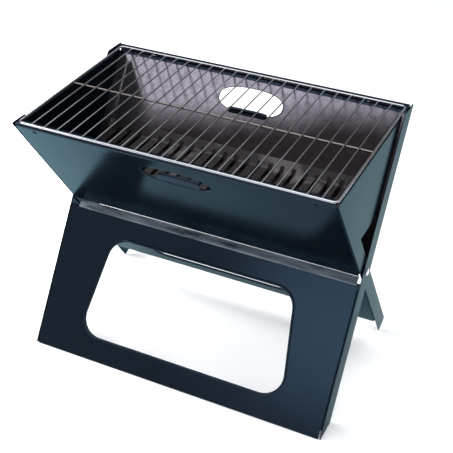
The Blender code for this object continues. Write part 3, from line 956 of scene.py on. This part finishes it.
def pan(floor_z, lip_z, cells, open_cell):
    """A trough of bent sheet, its floor and lips between the walls, open where told."""
    front_s = INNER_WEB_S - SHEET_STEP
    rear_s = REAR_WALL_S + SHEET_STEP
    bends = [at_height(INNER, floor_z, front_s), at_height(OUTER, floor_z, rear_s)]
    lips = [at_height(INNER, lip_z, front_s), at_height(OUTER, lip_z, rear_s)]
    profile = [lips[0]]
    for share in (0.72, 0.45):
        profile.append(tuple(Vector(bends[0]).lerp(Vector(lips[0]), share)))
    for bend, before, after in (
        (bends[0], lips[0], bends[1]),
        (bends[1], bends[0], lips[1]),
    ):
        bend = Vector(bend)
        start = bend + (Vector(before) - bend).normalized() * PAN_BEND
        end = bend + (Vector(after) - bend).normalized() * PAN_BEND
        for step in range(5):
            share = step / 4
            lower = start.lerp(bend, share).lerp(bend.lerp(end, share), share)
            profile.append(tuple(lower))
    for share in (0.45, 0.72):
        profile.append(tuple(Vector(bends[1]).lerp(Vector(lips[1]), share)))
    profile.append(lips[1])
    work = bmesh.new()
    rows = len(profile) - 1
    bmesh.ops.create_grid(work, x_segments=len(cells) - 1, y_segments=rows, size=0.5)
    places = {}
    for vert in work.verts:
        column = round((vert.co.x + 0.5) * (len(cells) - 1))
        row = round((vert.co.y + 0.5) * rows)
        places[vert] = (column, row)
    gone = [
        face
        for face in work.faces
        if open_cell(
            min(places[vert][0] for vert in face.verts),
            min(places[vert][1] for vert in face.verts),
            rows,
        )
    ]
    for vert, (column, row) in places.items():
        vert.co = (cells[column], *profile[row])
    bmesh.ops.delete(work, geom=gone, context="FACES")
    return work, profile


def make_pans():
    cells = [-PAN_HALF]
    for index in range(GRATE_SLOTS):
        x = (index - (GRATE_SLOTS - 1) / 2) * GRATE_SLOT_PITCH
        cells += [x - GRATE_SLOT_W / 2, x + GRATE_SLOT_W / 2]
    cells.append(PAN_HALF)

    def slotted(column, row, rows):
        return column % 2 == 1 and 1 < row < rows - 2

    work, _ = pan(GRATE_Z, GRATE_LIP_Z, cells, slotted)
    sheet_metal(
        "charcoal_grate_sheet", work, Matrix(), "charcoal_grate", "charcoal_grate", front=BURNT
    )
    reach = PAN_HALF - SHEET_T / 2
    cells = [-reach, 0, reach]
    work, profile = pan(ASH_Z, ASH_LIP_Z, cells, lambda *place: False)
    for side in (-1, 1):
        corners = [work.verts.new((side * reach, y, z)) for y, z in profile]
        pairs = zip(corners, corners[1:] + corners[:1])
        edges = [work.edges.new(pair) for pair in pairs]
        bmesh.ops.contextual_create(work, geom=edges)
    bmesh.ops.remove_doubles(work, verts=work.verts, dist=1e-6)
    sheet_metal("ash_tray_sheet", work, Matrix(), "ash_tray", "ash_tray", front=BURNT)


def rod(work, start, end, radius, sides=12):
    """A round wire between two points."""
    start, end = Vector(start), Vector(end)
    turn = (end - start).to_track_quat("Z", "Y").to_matrix().to_4x4()
    place = Matrix.Translation((start + end) / 2) @ turn
    sizes = {"radius1": radius, "radius2": radius, "depth": (end - start).length}
    bmesh.ops.create_cone(work, cap_ends=True, segments=sides, matrix=place, **sizes)


def make_grid():
    """A wire frame, its cross wires and a support wire, with a weld at each meeting."""
    depth = GRID_REAR_Y - GRID_FRONT_Y
    tilt = math.atan2(REAR_RIM_Z - FRONT_RIM_Z, depth)
    rest_z = (REAR_RIM_Z + FRONT_RIM_Z) / 2 + FRAME_WIRE_R + GAP
    shift = (GRID_SHIFT_X, (GRID_REAR_Y + GRID_FRONT_Y) / 2, rest_z)
    place = Matrix.Translation(shift) @ Matrix.Rotation(tilt, 4, "X")
    half_x, half_y = GRID_LENGTH / 2, depth / 2
    corners = ((-half_x, -half_y), (half_x, -half_y), (half_x, half_y), (-half_x, half_y))
    loop = rounded(corners, GRID_CORNER, 8)

    work = bmesh.new()
    rings = []
    for index, (x, y) in enumerate(loop):
        before = Vector(loop[index - 1])
        after = Vector(loop[(index + 1) % len(loop)])
        here = Vector((x, y))
        way = ((here - before).normalized() + (after - here).normalized()).normalized()
        turn = Vector((way.x, way.y, 0)).to_track_quat("Z", "Y").to_matrix().to_4x4()
        ring = bmesh.ops.create_circle(
            work,
            segments=WIRE_SIDES,
            radius=FRAME_WIRE_R,
            matrix=Matrix.Translation((x, y, 0)) @ turn,
        )["verts"]
        rings.append(ring)
    for ring, following in zip(rings, rings[1:] + rings[:1]):
        ends = set(ring) | set(following)
        edges = [edge for edge in work.edges if set(edge.verts) <= ends]
        own = [edge for edge in edges if set(edge.verts) <= set(ring)]
        other = [edge for edge in edges if set(edge.verts) <= set(following)]
        bmesh.ops.bridge_loops(work, edges=own + other)

    pitch = GRID_LENGTH / (CROSS_WIRES + 1)
    places = [(index + 1) * pitch - half_x for index in range(CROSS_WIRES)]
    under = -(CROSS_WIRE_R + FRAME_WIRE_R) + WIRE_SINK
    for x in places:
        rod(work, (x, -half_y, 0), (x, half_y, 0), CROSS_WIRE_R)
    rod(work, (-half_x, 0, under), (half_x, 0, under), FRAME_WIRE_R)
    welds = [(x, side * (half_y - WELD_INSET), 0) for x in places for side in (-1, 1)]
    welds += [(x, 0, under + WELD_RISE) for x in places]
    for x, y, z in welds:
        size = Matrix.Diagonal((*WELD_SIZE, 1))
        bmesh.ops.create_uvsphere(
            work,
            u_segments=10,
            v_segments=6,
            radius=1,
            matrix=Matrix.Translation((x, y, z)) @ size,
        )
    bmesh.ops.recalc_face_normals(work, faces=work.faces)
    nodes = ["cooking_grid"]
    made = piece("wire_grid", work, place, [CHROME], "cooking_grid", nodes)
    made.data.set_sharp_from_angle(angle=math.radians(50))


def turned(name, profile, place, body, node, finish=ZINC, segments=32):
    """A turned piece: (radius, height) points of its outer side, spun about Z."""
    work = bmesh.new()
    line = [work.verts.new((radius, 0, height)) for radius, height in profile]
    edges = [work.edges.new(pair) for pair in zip(line, line[1:])]
    bmesh.ops.spin(
        work,
        geom=line + edges,
        axis=(0, 0, 1),
        angle=2 * math.pi,
        steps=segments,
        use_merge=True,
    )
    bmesh.ops.remove_doubles(work, verts=work.verts, dist=1e-6)
    bmesh.ops.recalc_face_normals(work, faces=work.faces)
    made = piece(name, work, place, [finish], body, [node])
    made.data.set_sharp_from_angle(angle=math.radians(40))
    return made


def head(radius, height, base):
    """A hammered rivet head from its crown to its rim, with a small flat on top."""
    turns = [step / 7 * math.pi / 2 for step in range(8)]
    dome = [(radius * math.sin(turn), base + height * math.cos(turn)) for turn in turns]
    return [(0, base + height * 0.97), *dome[1:]]


def rivet_profile(shank, radius, height, low, high):
    top = head(radius, height, high)
    foot = [(out, low - (up - high)) for out, up in reversed(top)]
    return [*top, (shank, high), (shank, low), *foot]


def make_rivets():
    reach = (SHEET_T / 2 + GAP, SHEET_T / 2 + SHEET_STEP + GAP)
    rims = (
        ("rear", OUTER, REAR_RIM_Z, REAR_WALL_S, REAR_RIM_RIVET_X, -reach[0], reach[1]),
        ("front", INNER, FRONT_RIM_Z, INNER_WEB_S, FRONT_RIM_RIVET_X, -reach[1], reach[0]),
    )
    for word, matrix, rim_z, s, spread, low, high in rims:
        body, finish, down = ("inner_tray", ENAMEL, FRONT_RIVET_DOWN)
        if word == "rear":
            body, finish, down = ("outer_tray", ZINC, REAR_RIVET_DOWN)
        u = up_to(matrix, rim_z, s) - down
        for side_word, side in (("left", -1), ("right", 1)):
            profile = rivet_profile(RIM_SHANK_R, RIM_HEAD_R, RIM_HEAD_H, low, high)
            place = matrix @ Matrix.Translation((side * spread, u, s))
            node = f"rim_rivet_{word}_{side_word}"
            turned(f"domed_{node}", profile, place, body, node, finish)
    grip = (INNER_X - RAIL_T - GAP, OUTER_X + GAP)
    bore = PIVOT_SHANK_R + GAP
    for word, side in (("left", -1), ("right", 1)):
        low, high = sorted((side * grip[0], side * grip[1]))
        place = Matrix.Translation((0, 0, PIVOT_Z)) @ Matrix.Rotation(math.pi / 2, 4, "Y")
        profile = rivet_profile(PIVOT_SHANK_R, PIVOT_HEAD_R, PIVOT_HEAD_H, low, high)
        node = f"pivot_rivet_{word}"
        rivet = turned(f"hinge_rivet_{word}", profile, place, "outer_tray", node)
        rivet.data.materials.append(BURNT)
        for face in rivet.data.polygons:
            face.material_index = int(abs(face.center.x) < grip[0])
        low, high = sorted((side * (INNER_X + GAP), side * (OUTER_X - RAIL_T - GAP)))
        ease = 0.0002
        ring = [(bore, high), (WASHER_R - ease, high), (WASHER_R, high - ease)]
        ring += [(WASHER_R, low + ease), (WASHER_R - ease, low), (bore, low), (bore, high)]
        turned(f"hinge_washer_{word}", ring, place, "outer_tray", f"pivot_washer_{word}")


make_fire_walls()
make_legs()
make_rim_strips()
make_rails()
make_end_plates()
make_pans()
make_grid()
make_rivets()

# Stage

FLOOR = bpy.data.materials.new("floor_paper_pale")
FLOOR.use_nodes = True
FLOOR.node_tree.nodes["Principled BSDF"].inputs["Base Color"].default_value = srgb("#f4f4f4")
FLOOR.node_tree.nodes["Principled BSDF"].inputs["Roughness"].default_value = 0.9

floor_work = bmesh.new()
bmesh.ops.create_grid(floor_work, x_segments=1, y_segments=1, size=6)
floor_mesh = bpy.data.meshes.new("floor")
floor_work.to_mesh(floor_mesh)
floor_work.free()
floor_mesh.materials.append(FLOOR)
floor = bpy.data.objects.new("floor", floor_mesh)
bpy.context.scene.collection.objects.link(floor)


def soft_light(name, place, aim, size, power, tint="#ffffff", mirrored=True):
    """A soft panel the camera doesn't see; with mirrored off, gloss doesn't either."""
    data = bpy.data.lights.new(name, "AREA")
    data.shape = "RECTANGLE"
    data.size, data.size_y = size
    data.energy = power
    data.color = srgb(tint)[:3]
    made = bpy.data.objects.new(name, data)
    made.location = place
    made.rotation_euler = (Vector(aim) - Vector(place)).to_track_quat("-Z", "Y").to_euler()
    made.visible_camera = False
    made.visible_glossy = mirrored
    bpy.context.scene.collection.objects.link(made)


soft_light("overhead", (-0.2, 0.3, 2.4), (0, 0.2, 0), (2.6, 2.6), 50)
soft_light("front_softbox", (-0.25, -2.0, 1.05), (0, 0, 0.15), (0.7, 0.5), 2.6, "#cfe6f5")
soft_light("high_softbox", (-0.85, -1.7, 1.80), (0, 0, 0.3), (1.8, 0.6), 6, "#f4f0fa")
soft_light("left_fill", (-1.1, 0.05, 0.32), (-0.05, 0.03, 0), (0.9, 0.4), 44, mirrored=False)
soft_light("right_fill", (1.1, 0.10, 0.32), (0.05, 0.03, 0), (0.9, 0.4), 9, mirrored=False)
soft_light("left_spark", (-1.2, -0.6, 1.6), (0, 0, 0.2), (0.25, 0.25), 5)

world = bpy.data.worlds.new("studio")
bpy.context.scene.world = world
world.use_nodes = True
sky = world.node_tree.nodes["Background"]
sky.inputs["Color"].default_value = srgb("#dfe8f2")
sky.inputs["Strength"].default_value = 0.50


def make_camera():
    azimuth, elevation, roll = (math.radians(value) for value in (25.389, 33.685, 0.684))
    back = Vector(
        (
            math.sin(azimuth) * math.cos(elevation),
            -math.cos(azimuth) * math.cos(elevation),
            math.sin(elevation),
        )
    )
    right = Vector((math.cos(azimuth), math.sin(azimuth), 0))
    up = back.cross(right)
    tilted_right = right * math.cos(roll) + up * math.sin(roll)
    tilted_up = up * math.cos(roll) - right * math.sin(roll)
    data = bpy.data.cameras.new("camera")
    data.sensor_width = 36
    data.lens = 78.38
    data.clip_start = 0.05
    made = bpy.data.objects.new("camera", data)
    turn = Matrix((tilted_right, tilted_up, back)).transposed().to_4x4()
    aim = Vector((-0.0035, 0.0463, 0.1612))
    made.matrix_world = Matrix.Translation(aim + back * 1.4342) @ turn
    bpy.context.scene.collection.objects.link(made)
    bpy.context.scene.camera = made


make_camera()
# Plain display colours without a film curve, which lets the pale floor clip to white
bpy.context.scene.view_settings.view_transform = "Standard"
